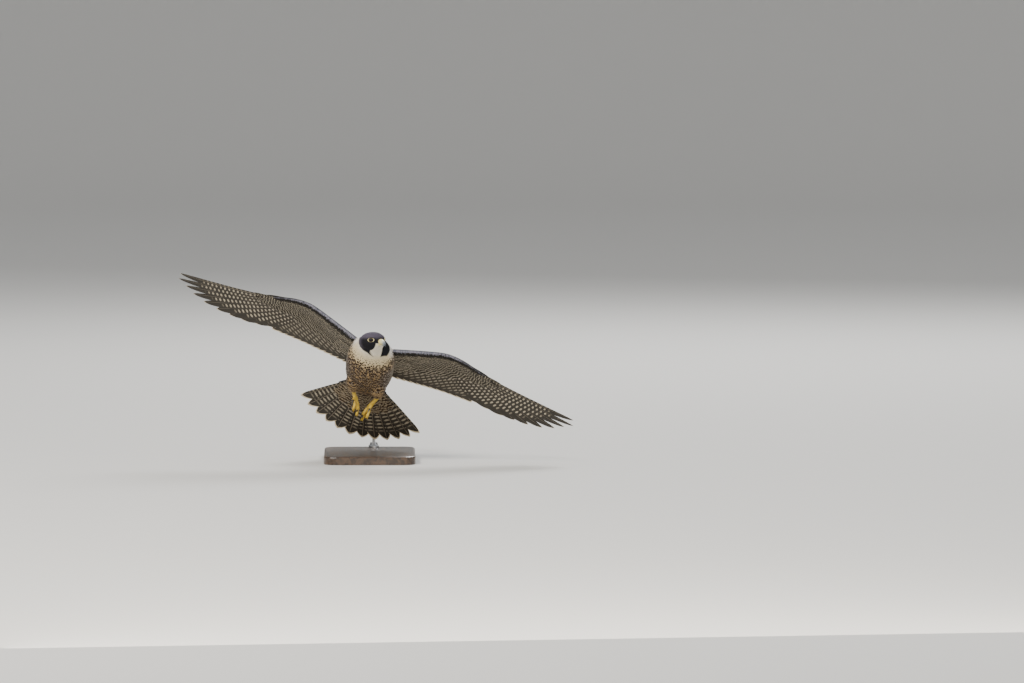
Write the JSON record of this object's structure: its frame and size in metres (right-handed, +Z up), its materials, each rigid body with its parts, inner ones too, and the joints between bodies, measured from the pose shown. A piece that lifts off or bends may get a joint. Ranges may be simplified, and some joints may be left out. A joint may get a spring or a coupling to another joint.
{
  "type": "peregrine falcon model",
  "caption": "Life-size still model of a peregrine falcon in banking flight, wings and tail spread, held over a flat base by a curved steel rod",
  "frame": {"origin": "On the underside of the stand's base, below the middle of the bird's body", "axes": "+Z up; the bird flies towards -Y with its nose up and banks to its left; its left wing reaches towards +X"},
  "size_m": [0.9479, 0.3735, 0.453],
  "materials": {
    "head_feathers": "slate feathers with a soft sheen",
    "body_feathers": "buff feathers with dark bars",
    "flight_feathers": "grey-brown feathers with pale bars",
    "bill": "horn, yellow at the root and slate at the tip",
    "eye": "glossy dark brown",
    "foot_skin": "yellow scaled skin",
    "claw": "black horn",
    "stand_wood": "dark satin lacquer",
    "stand_steel": "brushed"
  },
  "bodies": {
    "root": {"head": "head_feathers", "bill_upper": "bill", "bill_lower": "bill", "eye_left": "eye", "eye_right": "eye", "neck": "body_feathers", "torso": "body_feathers", "wing_left_arm": "flight_feathers", "wing_left_hand": "flight_feathers", "wing_right_arm": "flight_feathers", "wing_right_hand": "flight_feathers", "tail": "flight_feathers", "thigh_left": "body_feathers", "thigh_right": "body_feathers", "foot_left": "foot_skin", "foot_right": "foot_skin", "claw_left_inner": "claw", "claw_left_middle": "claw", "claw_left_outer": "claw", "claw_left_hind": "claw", "claw_right_inner": "claw", "claw_right_middle": "claw", "claw_right_outer": "claw", "claw_right_hind": "claw", "stand_base": "stand_wood", "stand_rod": "stand_steel", "stand_collar": "stand_steel"}
  },
  "joints": []
}
